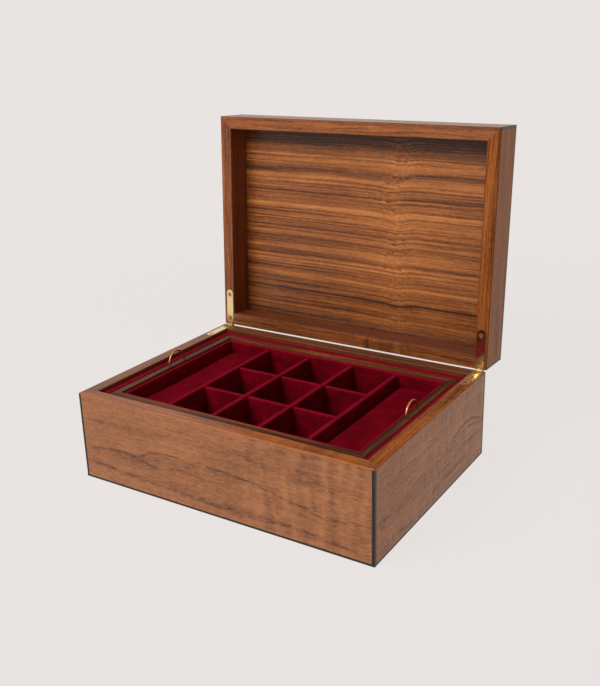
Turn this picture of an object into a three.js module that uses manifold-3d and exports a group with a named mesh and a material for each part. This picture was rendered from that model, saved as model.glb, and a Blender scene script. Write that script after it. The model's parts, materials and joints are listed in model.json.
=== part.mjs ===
// A walnut jewellery box with black edging, a velvet liner and a lift-out velvet tray, its lid open on two stop hinges.
// Millimetres, +Z up. Origin: the middle of the underside. +X is the box's right, -Y its front.
import * as THREE from "three";
import { mergeVertices } from "three/addons/utils/BufferGeometryUtils.js";
import { RoundedBoxGeometry } from "three/addons/geometries/RoundedBoxGeometry.js";
import Module from "manifold-3d";

// Carcass
const WIDTH = 330; // along X
const DEPTH = 242; // along Y
const BASE_H = 91.5; // underside to the base's rim
const LID_H = 41.5; // the lid's rim to its top
const WALL = 13.6; // thickness of every outer wall
const EDGING = 2.1; // square section of the black edging along the bottom and the top
const CORNER = 2.8; // square section of the black edging up the corners
const CORNER_EASE = 0.35; // bevel on the outer edge of a corner strip
const ARRIS = 0.7; // small bevel round both rims
const BACK_ARRIS = 0.2; // the same on the outer edges that meet at the hinges
const LIP = 0.8; // rim veneer that covers the ends of the corner edging
const BOTTOM_T = 8; // bottom board
const TOP_T = 8.5; // top board of the lid
const LID_RECESS = 29; // rim of the lid to its inner panel
const INNER_PANEL_T = 3.8; // the figured panel lining the top board
const JOINT_GAP = 0.3; // air between the rims with the lid shut
const FIT = 0.15; // glue line left between neighbouring pieces
const LID_FIT = 0.3; // the wider glue line of the swung pieces
const CLEAR = 0.1; // hairline between a soft piece and what it lies on
const SPILL = 1; // how far a cutting tool runs past the face it opens

// Hinges
const OPEN_DEG = 92.8; // lid swing from shut to its stop
const PIN_Y = DEPTH / 2 + 1.05; // pin axis, behind the back wall
const PIN_Z = BASE_H - 0.3;
const HINGE_X = 157.4; // middle of each hinge across the box
const LEAF_W = 8.6;
const LEAF_REACH = 42; // round end of a leaf, measured from the back wall
const LEAF_T = 1.6;
const KNUCKLE_R = 2.3;
const PIN_R = 0.8;
const PIN_END = 0.25; // how far each end of a pin stands out
const MID_KNUCKLE = 3; // length of the lid leaf's knuckle along X
const SCREW_R = 2.5; // countersunk head
const SCREW_SHANK_R = 1.15;
const SCREW_L = 9;
const SCREW_TIP = 1.6; // length of the point
const SCREW_AT = [7.4, 36]; // screw centres, measured from the back wall
const HEAD_SINK = 0.1; // leaf's open face to the screw head
const SINK_LIP = 0.25; // straight part at the mouth of a countersink
const DRIVER_SLOT = [5, 0.64, 1.1]; // length, width and twice the depth of a screw's slot
const HOLE_REST = 0.6; // empty end of a screw's hole
const LEAF_ROOM = 0.12; // air round a leaf in its recess
const KNUCKLE_ROOM = 0.45; // air round the knuckles
const KNUCKLE_SIDE = 0.2; // air at their ends

// Velvet liner of the base
const LINER_T = 7.1;
const LINER_DROP = 3.9; // rim to the liner's top
const FLOOR_PAD_T = 3;
const LINER_ROUND = 0.8;
const LEDGE_T = 6; // strip that carries the tray at each end
const TRAY_GAP = 0.7; // air round the tray

// Tray
const TRAY_Z = 42; // underside of the tray
const RAIL_T = 7.5;
const RAIL_DROP = 4.5; // rim to the top of the tray's walnut frame
const TRAY_BOTTOM_T = 4;
const TRAY_PAD_T = 3;
const LINING_T = 5;
const LINING_DROP = 1.1; // frame top to lining top
const LINING_ROUND = 2.1;
const LONG_T = 6; // the four dividers running front to back
const LONG_DROP = 7.6; // rim to their rounded tops
const LONG_ROUND = 2.2;
const LONG_X = [-79.7, -26.5, 26.5, 79.7];
const CROSS_T = 4.7; // the two dividers running across
const CROSS_DROP = 8.8;
const CROSS_ROUND = 1.8;
const CROSS_Y = [-30.1, 30.1];
const SIDE_FLOOR_Z = 74.8; // top of the raised floors in the two side compartments
const SIDE_FLOOR_ROUND = 1.2;
const SIDE_FLOOR_GAP = 0.2;
const LOOP_HALF = 12.2; // half the spread of a loop's feet
const LOOP_LEG = 1.6; // straight part above the frame
const WIRE_R = 0.95;
const LOOP_SINK = 6; // length of each foot inside the frame
const FOOT_ROOM = 0.1; // air round a foot in its hole

const wasm = await Module();
wasm.setup();

function toSolid(geometry) {
  const bare = geometry.index ? geometry.toNonIndexed() : geometry.clone();
  bare.deleteAttribute("normal");
  bare.deleteAttribute("uv");
  const merged = mergeVertices(bare, 1e-4);
  return new wasm.Manifold(
    new wasm.Mesh({
      numProp: 3,
      vertProperties: merged.attributes.position.array,
      triVerts: new Uint32Array(merged.index.array),
    }),
  );
}

function toGeometry(solid) {
  const mesh = solid.getMesh();
  const count = mesh.vertProperties.length / mesh.numProp;
  const positions = new Float32Array(count * 3);
  for (let i = 0; i < count; i++)
    positions.set(
      mesh.vertProperties.subarray(i * mesh.numProp, i * mesh.numProp + 3),
      i * 3,
    );
  const geometry = new THREE.BufferGeometry();
  geometry.setAttribute("position", new THREE.BufferAttribute(positions, 3));
  geometry.setIndex(new THREE.BufferAttribute(mesh.triVerts, 1));
  geometry.computeVertexNormals();
  return geometry;
}

// A box between two corners.
function block(lo, hi) {
  const size = hi.map((v, i) => v - lo[i]);
  return new THREE.BoxGeometry(...size).translate(
    ...hi.map((v, i) => (v + lo[i]) / 2),
  );
}

// A cylinder lying along X.
const rodX = (radius, x0, x1, y, z, sides = 32) =>
  new THREE.CylinderGeometry(radius, radius, x1 - x0, sides)
    .rotateZ(Math.PI / 2)
    .translate((x0 + x1) / 2, y, z);

// A cylinder standing along Z.
const rodZ = (radius, z0, z1, x, y, sides = 24) =>
  new THREE.CylinderGeometry(radius, radius, z1 - z0, sides)
    .rotateX(Math.PI / 2)
    .translate(x, y, (z0 + z1) / 2);

const cut = (geometry, ...tools) =>
  toGeometry(
    tools.reduce((s, tool) => s.subtract(toSolid(tool)), toSolid(geometry)),
  );
const join = (geometry, ...others) =>
  toGeometry(others.reduce((s, o) => s.add(toSolid(o)), toSolid(geometry)));

// A profile drawn in (u, v), swept along a third axis: u and v name the axes it lies in.
function prism(points, axis, from, to) {
  const shape = new THREE.Shape(points.map(([u, v]) => new THREE.Vector2(u, v)));
  const body = new THREE.ExtrudeGeometry(shape, {
    depth: to - from,
    bevelEnabled: false,
  }).translate(0, 0, from);
  if (axis === "z") return body;
  // (u, v, w) to (w, u, v) for a sweep along X, to (v, w, u) for a sweep along Y
  const m = new THREE.Matrix4();
  if (axis === "x") m.set(0, 0, 1, 0, 1, 0, 0, 0, 0, 1, 0, 0, 0, 0, 0, 1);
  else m.set(0, 1, 0, 0, 0, 0, 1, 0, 1, 0, 0, 0, 0, 0, 0, 1);
  return body.applyMatrix4(m);
}

// Finishes
const finish = (color, roughness, metalness = 0) =>
  new THREE.MeshStandardMaterial({ color, roughness, metalness });
const WALNUT_FRONT = finish(0x9c6a48, 0.42);
const WALNUT_SIDE = finish(0x8c6a55, 0.45);
const WALNUT_LID = finish(0x8f5b38, 0.42);
const WALNUT_DARK = finish(0x6b3f22, 0.5);
const WALNUT_PANEL = finish(0x7a4526, 0.4);
const WALNUT_TRAY = finish(0x7c5a42, 0.55);
const BLACK = finish(0x3a3532, 0.45);
const VELVET = finish(0x66060f, 0.95);
const VELVET_LIT = finish(0x7a0a18, 0.95);
const BRASS = finish(0xd9b45c, 0.28, 1);
const BRASS_DARK = finish(0x9a7434, 0.35, 1);

const group = new THREE.Group();
group.name = "jewellery_box";
function place(parent, name, geometry, material) {
  const mesh = new THREE.Mesh(geometry, material);
  mesh.name = name;
  parent.add(mesh);
  return mesh;
}

const HX = WIDTH / 2,
  HY = DEPTH / 2,
  IX = HX - WALL,
  IY = HY - WALL;

// The turn about Z that takes a piece made for the back to its own side.
const SIDE_TURN = {
  back: 0,
  left: Math.PI / 2,
  front: Math.PI,
  right: -Math.PI / 2,
};

// One mitred wall, z0 to z1, with the rim's bevels at the end named by rim (+1 top, -1 bottom)
// and the outer edges set back for the edging. side: "front", "back", "left" or "right".
function wall(side, z0, z1, rim) {
  const along = side === "front" || side === "back" ? HX : HY;
  const out = side === "front" || side === "back" ? HY : HX;
  // In the wall's own frame: s runs along the wall, o outward from the middle of the box.
  const half = FIT / 2;
  const plan = [
    [-(along - WALL) + half, out - WALL],
    [-along + CORNER + half, out - CORNER],
    [-along + CORNER + half, out],
    [along - CORNER - half, out],
    [along - CORNER - half, out - CORNER],
    [along - WALL - half, out - WALL],
  ];
  // At the rim the mitre runs right out to the corner, over the end of the corner edging.
  const full = [
    [-(along - WALL) + half, out - WALL],
    [-along + half, out],
    [along - half, out],
    [along - WALL - half, out - WALL],
  ];
  const shank = rim > 0 ? [z0, z1 - LIP / 2] : [z0 + LIP / 2, z1];
  const lip = rim > 0 ? [z1 - LIP, z1] : [z0, z0 + LIP];
  let body = toSolid(prism(plan, "z", ...shank)).add(
    toSolid(prism(full, "z", ...lip)),
  );
  // the rebate for the edging on the edge away from the rim
  const far = rim > 0 ? z0 : z1;
  const lo = rim > 0 ? far - SPILL : far - EDGING - half;
  const hi = rim > 0 ? far + EDGING + half : far + SPILL;
  body = body.subtract(
    toSolid(
      block([-along - SPILL, out - EDGING - half, lo], [along + SPILL, out + SPILL, hi]),
    ),
  );
  // bevels along the rim
  const top = rim > 0 ? z1 : z0;
  for (const [edge, away] of [
    [out, 1],
    [out - WALL, -1],
  ]) {
    const ease = side === "back" && away > 0 ? BACK_ARRIS : ARRIS;
    const bevel = [
      [edge + away * SPILL, top + rim * SPILL],
      [edge - away * ease, top + rim * SPILL],
      [edge - away * ease, top],
      [edge, top - rim * ease],
      [edge + away * SPILL, top - rim * ease],
    ];
    body = body.subtract(toSolid(prism(bevel, "x", -along - SPILL, along + SPILL)));
  }
  return toGeometry(body).rotateZ(SIDE_TURN[side]);
}

// The outline of a hinge leaf, widened all round for its recess: a strip with a round front end.
function leafPrism(x, z0, z1, widen, yEnd, steps = 24) {
  const r = LEAF_W / 2 + widen;
  const y0 = HY - LEAF_REACH + LEAF_W / 2;
  const points = [];
  for (let i = 0; i <= steps; i++) {
    const a = Math.PI + (Math.PI * i) / steps;
    points.push([x + r * Math.cos(a), y0 + r * Math.sin(a)]);
  }
  return prism([...points, [x + r, yEnd], [x - r, yEnd]], "z", z0, z1);
}
const hingeXs = [-HINGE_X, HINGE_X];
const screwYs = SCREW_AT.map((d) => HY - d);
// Room for the knuckles, turned about the pin so it suits every lid angle.
const knuckleRoom = (x) =>
  rodX(
    KNUCKLE_R + KNUCKLE_ROOM,
    x - LEAF_W / 2 - KNUCKLE_SIDE,
    x + LEAF_W / 2 + KNUCKLE_SIDE,
    PIN_Y,
    PIN_Z,
  );

// --- Base ---
const base = new THREE.Group();
group.add(base);
const baseTools = hingeXs.flatMap((x) => [
  leafPrism(x, BASE_H - LEAF_T - LEAF_ROOM, BASE_H + SPILL, LEAF_ROOM, HY + SPILL),
  knuckleRoom(x),
  ...screwYs.map((y) =>
    rodZ(SCREW_SHANK_R + LEAF_ROOM, BASE_H - SCREW_L - HOLE_REST, BASE_H, x, y, 16),
  ),
]);
for (const side of ["front", "back", "left", "right"])
  place(
    base,
    `base_wall_${side}`,
    cut(wall(side, 0, BASE_H, 1), ...baseTools),
    side === "right" || side === "left" ? WALNUT_SIDE : WALNUT_FRONT,
  );
place(
  base,
  "base_bottom_board",
  block([-IX + FIT, -IY + FIT, 0], [IX - FIT, IY - FIT, BOTTOM_T]),
  WALNUT_DARK,
);

// Edging: one ring round the far edges and a strip up each corner.
function edgingRing(z0, z1) {
  const solid = toSolid(block([-HX, -HY, z0], [HX, HY, z1])).subtract(
    toSolid(
      block(
        [-HX + EDGING, -HY + EDGING, z0 - SPILL],
        [HX - EDGING, HY - EDGING, z1 + SPILL],
      ),
    ),
  );
  return toGeometry(solid);
}
// A corner strip with its outer corner eased.
function cornerStrip(sx, sy, z0, z1) {
  const plan = [
    [HX - CORNER, HY - CORNER],
    [HX, HY - CORNER],
    [HX, HY - CORNER_EASE],
    [HX - CORNER_EASE, HY],
    [HX - CORNER, HY],
  ].map(([x, y]) => [x * sx, y * sy]);
  return prism(plan, "z", z0, z1);
}
const corners = [
  ["front_left", -1, -1],
  ["front_right", 1, -1],
  ["back_left", -1, 1],
  ["back_right", 1, 1],
];
place(base, "base_edging_bottom", edgingRing(0, EDGING), BLACK);
for (const [name, sx, sy] of corners)
  place(
    base,
    `base_edging_${name}`,
    cornerStrip(sx, sy, EDGING + FIT, BASE_H - LIP - FIT),
    BLACK,
  );

// Velvet-covered liner boards: the long ones run wall to wall, the short ones fit between them.
const LINER_Z0 = BOTTOM_T + CLEAR,
  LINER_Z1 = BASE_H - LINER_DROP;
const LX = IX - CLEAR,
  LY = IY - CLEAR;
// A board with both top edges rounded over by the velvet. along: "x" or "y"; o0 to o1 its thickness.
function softBoard(along, o0, o1, a0, a1, z0, z1, radius, steps = 5) {
  const lo = Math.min(o0, o1),
    hi = Math.max(o0, o1);
  const points = [
    [lo, z0],
    [hi, z0],
  ];
  for (let i = 0; i <= steps; i++) {
    const t = ((Math.PI / 2) * i) / steps;
    points.push([
      hi - radius + radius * Math.cos(t),
      z1 - radius + radius * Math.sin(t),
    ]);
  }
  for (let i = 0; i <= steps; i++) {
    const t = Math.PI / 2 + ((Math.PI / 2) * i) / steps;
    points.push([
      lo + radius + radius * Math.cos(t),
      z1 - radius + radius * Math.sin(t),
    ]);
  }
  if (along === "x") return prism(points, "x", a0, a1);
  return prism(
    points.map(([o, z]) => [z, o]),
    "y",
    a0,
    a1,
  );
}
for (const [side, s] of [
  ["back", 1],
  ["front", -1],
])
  place(
    base,
    `liner_${side}`,
    softBoard(
      "x",
      s * (LY - LINER_T),
      s * LY,
      -LX,
      LX,
      LINER_Z0,
      LINER_Z1,
      LINER_ROUND,
    ),
    VELVET_LIT,
  );
for (const [side, s] of [
  ["right", 1],
  ["left", -1],
])
  place(
    base,
    `liner_${side}`,
    softBoard(
      "y",
      s * (LX - LINER_T),
      s * LX,
      -LY + LINER_T + FIT,
      LY - LINER_T - FIT,
      LINER_Z0,
      LINER_Z1,
      LINER_ROUND,
    ),
    VELVET_LIT,
  );
const WX = LX - LINER_T,
  WY = LY - LINER_T; // inner faces of the liner
place(
  base,
  "well_floor_pad",
  block(
    [-WX + FIT, -WY + FIT, LINER_Z0],
    [WX - FIT, WY - FIT, BOTTOM_T + FLOOR_PAD_T],
  ),
  VELVET,
);
for (const [side, s] of [
  ["right", 1],
  ["left", -1],
])
  place(
    base,
    `tray_ledge_${side}`,
    block(
      [
        s > 0 ? WX - LEDGE_T : -WX + FIT,
        -WY + FIT,
        BOTTOM_T + FLOOR_PAD_T + CLEAR,
      ],
      [s > 0 ? WX - FIT : -WX + LEDGE_T, WY - FIT, TRAY_Z - CLEAR],
    ),
    VELVET,
  );

// --- Hinges ---
// A leaf lies in the rim at z (its open face) and reaches down (dir -1, base) or up (dir +1, lid).
function leaf(x, dir, shank) {
  const face = dir < 0 ? BASE_H : BASE_H + JOINT_GAP;
  const z0 = dir < 0 ? face - LEAF_T : face;
  const z1 = dir < 0 ? face : face + LEAF_T;
  const backEnd = PIN_Y - KNUCKLE_R - KNUCKLE_ROOM;
  let body = toSolid(leafPrism(x, z0, z1, 0, backEnd));
  // tongues and knuckles
  const half = LEAF_W / 2,
    mid = MID_KNUCKLE / 2;
  const spans =
    dir < 0
      ? [
          [x - half, x - mid - FIT],
          [x + mid + FIT, x + half],
        ]
      : [[x - mid, x + mid]];
  for (const [x0, x1] of spans) {
    body = body.add(toSolid(block([x0, backEnd - SPILL, z0], [x1, PIN_Y, z1])));
    body = body.add(toSolid(rodX(KNUCKLE_R, x0, x1, PIN_Y, PIN_Z)));
  }
  body = body.subtract(
    toSolid(rodX(PIN_R + CLEAR, x - half - SPILL, x + half + SPILL, PIN_Y, PIN_Z, 20)),
  );
  // countersunk screw holes
  for (const y of screwYs) {
    body = body.subtract(toSolid(rodZ(shank, z0 - SPILL, z1 + SPILL, x, y, 24)));
    body = body.subtract(toSolid(sink(x, y, face, dir)));
  }
  return toGeometry(body);
}
// The room a screw's head takes, open past the leaf's face.
function sink(x, y, face, dir) {
  const widen = CLEAR / 2,
    depth = SCREW_R - SCREW_SHANK_R + SINK_LIP + widen;
  const profile = [
    [0, -SPILL],
    [SCREW_R + widen, -SPILL],
    [SCREW_R + widen, SINK_LIP],
    [SCREW_SHANK_R + widen, depth],
    [0, depth],
  ].map(([r, d]) => new THREE.Vector2(r, dir * d));
  if (dir < 0) profile.reverse();
  return new THREE.LatheGeometry(profile, 24)
    .rotateX(Math.PI / 2)
    .translate(x, y, face);
}
// One countersunk screw with a slot; its head lies just inside the leaf's open face.
function screw(x, y, dir, turn) {
  const face = (dir < 0 ? BASE_H : BASE_H + JOINT_GAP) + dir * HEAD_SINK;
  const depth = SCREW_R - SCREW_SHANK_R;
  const profile = [
    [0, 0],
    [SCREW_R - CLEAR, 0],
    [SCREW_R - CLEAR, CLEAR],
    [SCREW_SHANK_R, depth],
    [SCREW_SHANK_R, SCREW_L - SCREW_TIP],
    [0, SCREW_L],
  ].map(([r, d]) => new THREE.Vector2(r, dir * d));
  if (dir < 0) profile.reverse();
  const body = toSolid(
    new THREE.LatheGeometry(profile, 24).rotateX(Math.PI / 2).translate(x, y, face),
  );
  const slot = new THREE.BoxGeometry(...DRIVER_SLOT)
    .rotateZ(turn)
    .translate(x, y, face);
  return toGeometry(body.subtract(toSolid(slot)));
}
const hinge = { left: -HINGE_X, right: HINGE_X };
const SLOT_TURN = { left: [0.5, 1.9], right: [1.2, 0.2] }; // radians, back screw first
const LID_SLOT_TURN = { left: [2.5, 1.1], right: [0.8, 1.8] };
for (const side of ["left", "right"]) {
  const x = hinge[side];
  place(base, `hinge_${side}_base_leaf`, leaf(x, -1, SCREW_SHANK_R + CLEAR), BRASS);
  place(
    base,
    `hinge_${side}_pin`,
    rodX(PIN_R, x - LEAF_W / 2 - PIN_END, x + LEAF_W / 2 + PIN_END, PIN_Y, PIN_Z, 20),
    BRASS,
  );
  screwYs.forEach((y, i) =>
    place(
      base,
      `hinge_${side}_base_screw_${i ? "front" : "back"}`,
      screw(x, y, -1, SLOT_TURN[side][i]),
      BRASS_DARK,
    ),
  );
}

// --- Lid: modelled shut, then swung about the pin ---
const swing = new THREE.Group();
swing.position.set(0, PIN_Y, PIN_Z);
swing.rotation.x = THREE.MathUtils.degToRad(-OPEN_DEG);
const lid = new THREE.Group();
lid.position.set(0, -PIN_Y, -PIN_Z);
swing.add(lid);
group.add(swing);
const LID_Z0 = BASE_H + JOINT_GAP,
  LID_Z1 = LID_Z0 + LID_H;
const lidTools = hingeXs.flatMap((x) => [
  leafPrism(x, LID_Z0 - SPILL, LID_Z0 + LEAF_T + LID_FIT, LID_FIT, HY + SPILL),
  knuckleRoom(x),
  ...screwYs.map((y) =>
    rodZ(SCREW_SHANK_R + LID_FIT, LID_Z0, LID_Z0 + SCREW_L + HOLE_REST, x, y, 16),
  ),
]);
for (const side of ["front", "back", "left", "right"])
  place(
    lid,
    `lid_wall_${side}`,
    cut(wall(side, LID_Z0, LID_Z1, -1), ...lidTools),
    side === "right" || side === "left" ? WALNUT_SIDE : WALNUT_LID,
  );
place(
  lid,
  "lid_top_board",
  block(
    [-IX + LID_FIT, -IY + LID_FIT, LID_Z1 - TOP_T],
    [IX - LID_FIT, IY - LID_FIT, LID_Z1],
  ),
  WALNUT_LID,
);
place(
  lid,
  "lid_inner_panel",
  block(
    [-IX + LID_FIT, -IY + LID_FIT, LID_Z0 + LID_RECESS],
    [IX - LID_FIT, IY - LID_FIT, LID_Z0 + LID_RECESS + INNER_PANEL_T - LID_FIT],
  ),
  WALNUT_PANEL,
);
place(lid, "lid_edging_top", edgingRing(LID_Z1 - EDGING, LID_Z1), BLACK);
for (const [name, sx, sy] of corners)
  place(
    lid,
    `lid_edging_${name}`,
    cornerStrip(sx, sy, LID_Z0 + LIP + LID_FIT, LID_Z1 - EDGING - LID_FIT),
    BLACK,
  );
for (const side of ["left", "right"]) {
  const x = hinge[side];
  place(lid, `hinge_${side}_lid_leaf`, leaf(x, 1, SCREW_SHANK_R + LID_FIT), BRASS);
  screwYs.forEach((y, i) =>
    place(
      lid,
      `hinge_${side}_lid_screw_${i ? "front" : "back"}`,
      screw(x, y, 1, LID_SLOT_TURN[side][i]),
      BRASS_DARK,
    ),
  );
}

// --- Tray ---
const tray = new THREE.Group();
group.add(tray);
const TX = WX - TRAY_GAP,
  TY = WY - TRAY_GAP; // outer faces of the walnut frame
const TRAY_TOP = BASE_H - RAIL_DROP;
const RX = TX - RAIL_T,
  RY = TY - RAIL_T; // inner faces of the frame
// A mitred rail of the frame.
function rail(side) {
  const flat = side === "front" || side === "back";
  const along = flat ? TX : TY,
    out = flat ? TY : TX;
  const half = FIT / 2;
  const plan = [
    [-(along - RAIL_T) + half, out - RAIL_T],
    [-along + half, out],
    [along - half, out],
    [along - RAIL_T - half, out - RAIL_T],
  ];
  return prism(plan, "z", TRAY_Z, TRAY_TOP).rotateZ(SIDE_TURN[side]);
}
const LOOP_X = TX - RAIL_T / 2;
const footHoles = [-1, 1].flatMap((s) =>
  [-1, 1].map((t) =>
    rodZ(
      WIRE_R + FOOT_ROOM,
      TRAY_TOP - LOOP_SINK - FOOT_ROOM,
      TRAY_TOP + SPILL,
      s * LOOP_X,
      t * LOOP_HALF,
      16,
    ),
  ),
);
for (const side of ["front", "back", "left", "right"])
  place(
    tray,
    `tray_rail_${side}`,
    side === "left" || side === "right"
      ? cut(rail(side), ...footHoles)
      : rail(side),
    WALNUT_TRAY,
  );
place(
  tray,
  "tray_bottom_board",
  block([-RX + FIT, -RY + FIT, TRAY_Z], [RX - FIT, RY - FIT, TRAY_Z + TRAY_BOTTOM_T]),
  WALNUT_DARK,
);
// Velvet lining round the inside of the frame, one continuous band with a rounded top.
const LIN_Z0 = TRAY_Z + TRAY_BOTTOM_T + CLEAR,
  LIN_Z1 = TRAY_TOP - LINING_DROP;
function liningBand() {
  const ox = RX - CLEAR,
    oy = RY - CLEAR;
  const run = (along, inner, outer, end) =>
    softBoard(along, inner, outer, -end, end, LIN_Z0, LIN_Z1, LINING_ROUND, 6);
  const runs = [1, -1].flatMap((s) => [
    run("x", s * (RY - LINING_T), s * oy, ox),
    run("y", s * (RX - LINING_T), s * ox, oy),
  ]);
  return join(...runs);
}
place(tray, "tray_lining", liningBand(), VELVET_LIT);
const CX = RX - LINING_T,
  CY = RY - LINING_T; // inner faces of the lining
const PAD_Z1 = LIN_Z0 + TRAY_PAD_T;
place(
  tray,
  "tray_floor_pad",
  block([-CX + FIT, -CY + FIT, LIN_Z0], [CX - FIT, CY - FIT, PAD_Z1]),
  VELVET,
);
// Dividers: the long ones are notched below and the cross ones above, so they halve together.
const DIV_Z0 = PAD_Z1 + CLEAR,
  LONG_Z1 = BASE_H - LONG_DROP,
  CROSS_Z1 = BASE_H - CROSS_DROP,
  DIV_MID = (DIV_Z0 + CROSS_Z1) / 2;
// A notch across a divider at (x, y), wide enough for one of the other kind.
const notch = (x, y, halfX, halfY, z0, z1) =>
  block([x - halfX, y - halfY, z0], [x + halfX, y + halfY, z1]);
LONG_X.forEach((x, i) => {
  const body = softBoard(
    "y",
    x - LONG_T / 2,
    x + LONG_T / 2,
    -CY + FIT,
    CY - FIT,
    DIV_Z0,
    LONG_Z1,
    LONG_ROUND,
  );
  const crossed = i === 1 || i === 2;
  const notches = CROSS_Y.map((y) =>
    notch(x, y, LONG_T, CROSS_T / 2 + FIT, DIV_Z0 - SPILL, DIV_MID),
  );
  place(
    tray,
    `divider_long_${i + 1}`,
    crossed ? cut(body, ...notches) : body,
    VELVET_LIT,
  );
});
CROSS_Y.forEach((y, i) => {
  const body = softBoard(
    "x",
    y - CROSS_T / 2,
    y + CROSS_T / 2,
    LONG_X[0] + LONG_T / 2 + FIT,
    LONG_X[3] - LONG_T / 2 - FIT,
    DIV_Z0,
    CROSS_Z1,
    CROSS_ROUND,
  );
  const notches = [LONG_X[1], LONG_X[2]].map((x) =>
    notch(x, y, LONG_T / 2 + FIT, CROSS_T, DIV_MID - CLEAR, CROSS_Z1 + SPILL),
  );
  place(tray, `divider_cross_${i ? "back" : "front"}`, cut(body, ...notches), VELVET_LIT);
});
// Raised, padded floors of the two long side compartments.
for (const [side, s] of [
  ["right", 1],
  ["left", -1],
]) {
  const x0 = LONG_X[3] + LONG_T / 2 + SIDE_FLOOR_GAP,
    x1 = CX - SIDE_FLOOR_GAP;
  const h = SIDE_FLOOR_Z - DIV_Z0;
  const pad = new RoundedBoxGeometry(
    x1 - x0,
    2 * (CY - SIDE_FLOOR_GAP),
    h,
    3,
    SIDE_FLOOR_ROUND,
  );
  place(
    tray,
    `side_floor_${side}`,
    pad.translate((s * (x0 + x1)) / 2, 0, DIV_Z0 + h / 2),
    VELVET,
  );
}
// Brass wire loops for lifting the tray, glued into the end rails.
function loop(s) {
  const round = new THREE.Shape();
  round.absarc(0, 0, WIRE_R, 0, 2 * Math.PI, false);
  return new THREE.ExtrudeGeometry(round, {
    extrudePath: wirePath(s, TRAY_TOP - LOOP_SINK, TRAY_TOP + LOOP_LEG),
    steps: 44,
    curveSegments: 6,
    bevelEnabled: false,
  });
}
// The loop's centre line by length: a leg, a half circle, a leg.
function wirePath(s, z0, z1) {
  const leg = z1 - z0,
    bend = Math.PI * LOOP_HALF,
    total = 2 * leg + bend;
  const curve = new THREE.Curve();
  curve.getPoint = (t, target = new THREE.Vector3()) => {
    const d = t * total;
    if (d < leg) return target.set(s * LOOP_X, -LOOP_HALF, z0 + d);
    if (d > leg + bend)
      return target.set(s * LOOP_X, LOOP_HALF, z1 - (d - leg - bend));
    const a = Math.PI - (d - leg) / LOOP_HALF;
    return target.set(
      s * LOOP_X,
      LOOP_HALF * Math.cos(a),
      z1 + LOOP_HALF * Math.sin(a),
    );
  };
  return curve;
}
for (const [side, s] of [
  ["right", 1],
  ["left", -1],
])
  place(tray, `tray_loop_${side}`, loop(s), BRASS_DARK);

export default group;
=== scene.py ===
"""A walnut jewellery box with black edging, a velvet liner and a lift-out velvet tray.

The wooden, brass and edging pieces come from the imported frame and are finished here. The velvet pieces and
the wire loops are made here. Lengths in the mesh code are metres, and millimetres times MM where a size is
written out. The finishes work in millimetres.
"""
import json
import math

import bmesh
import bpy
from bpy.props import FloatProperty, FloatVectorProperty, IntProperty, PointerProperty
from bpy.types import Operator, Panel, PropertyGroup
from mathutils import Matrix, Vector, noise


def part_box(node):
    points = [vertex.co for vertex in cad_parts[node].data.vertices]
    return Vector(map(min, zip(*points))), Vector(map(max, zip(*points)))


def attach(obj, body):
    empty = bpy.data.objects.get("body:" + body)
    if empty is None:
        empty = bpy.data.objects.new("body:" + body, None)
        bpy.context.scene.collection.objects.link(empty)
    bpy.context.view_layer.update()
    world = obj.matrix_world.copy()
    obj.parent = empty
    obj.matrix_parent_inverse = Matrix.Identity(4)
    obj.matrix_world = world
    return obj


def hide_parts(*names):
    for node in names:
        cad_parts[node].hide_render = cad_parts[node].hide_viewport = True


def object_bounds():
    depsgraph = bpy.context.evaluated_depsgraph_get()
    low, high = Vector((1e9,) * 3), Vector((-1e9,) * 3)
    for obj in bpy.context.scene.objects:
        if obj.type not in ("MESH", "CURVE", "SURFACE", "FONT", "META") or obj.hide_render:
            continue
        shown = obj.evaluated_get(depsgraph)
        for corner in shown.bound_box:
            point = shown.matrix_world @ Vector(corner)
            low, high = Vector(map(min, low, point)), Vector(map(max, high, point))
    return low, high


bl_info = {
    "name": "Walnut Jewellery Box",
    "version": (1, 0, 0),
    "blender": (4, 5, 0),
    "location": "View3D > Sidebar > Jewellery Box",
    "description": "Finishes a walnut jewellery box and makes its velvet and wire pieces",
    "category": "Object",
}

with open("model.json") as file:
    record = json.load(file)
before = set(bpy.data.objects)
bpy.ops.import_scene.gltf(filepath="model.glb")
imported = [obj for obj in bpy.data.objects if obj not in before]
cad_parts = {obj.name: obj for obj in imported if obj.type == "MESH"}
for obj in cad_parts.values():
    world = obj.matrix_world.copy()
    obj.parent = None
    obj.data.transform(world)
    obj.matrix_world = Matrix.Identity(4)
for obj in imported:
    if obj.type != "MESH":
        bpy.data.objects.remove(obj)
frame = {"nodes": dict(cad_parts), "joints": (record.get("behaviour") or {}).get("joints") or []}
CAD_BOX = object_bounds()

MM = 0.001
WALLS = ("front", "back", "left", "right")
CORNERS = ("front_left", "front_right", "back_left", "back_right")
HANDS = ("left", "right")
LONG_DIVIDERS = tuple(f"divider_long_{i}" for i in (1, 2, 3, 4))
CROSS_DIVIDERS = ("divider_cross_front", "divider_cross_back")
LID_JOINT = next(j for j in frame["joints"] if j["name"] == "lid_hinge")
PIN = Vector(LID_JOINT["pos_m"])
SWING = math.radians(max(LID_JOINT["range_deg"], key=abs))  # from the open stop to shut


def tone(red, green, blue):
    """A linear colour from the 8-bit values of a colour chart."""
    return tuple(
        c / 12.92 if c <= 0.04045 else ((c + 0.055) / 1.055) ** 2.4
        for c in (red / 255, green / 255, blue / 255)
    )


def colour(name, description, chart):
    return FloatVectorProperty(
        name=name, description=description, subtype="COLOR", size=3, min=0, max=1, default=tone(*chart)
    )


def number(name, description, default, **limits):
    return FloatProperty(name=name, description=description, default=default, **limits)


def length(name, description, millimetres):
    return number(name, description, millimetres * MM, unit="LENGTH", min=0)


def fraction(name, description, default):
    return number(name, description, default, subtype="FACTOR", min=0, max=1)


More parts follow.
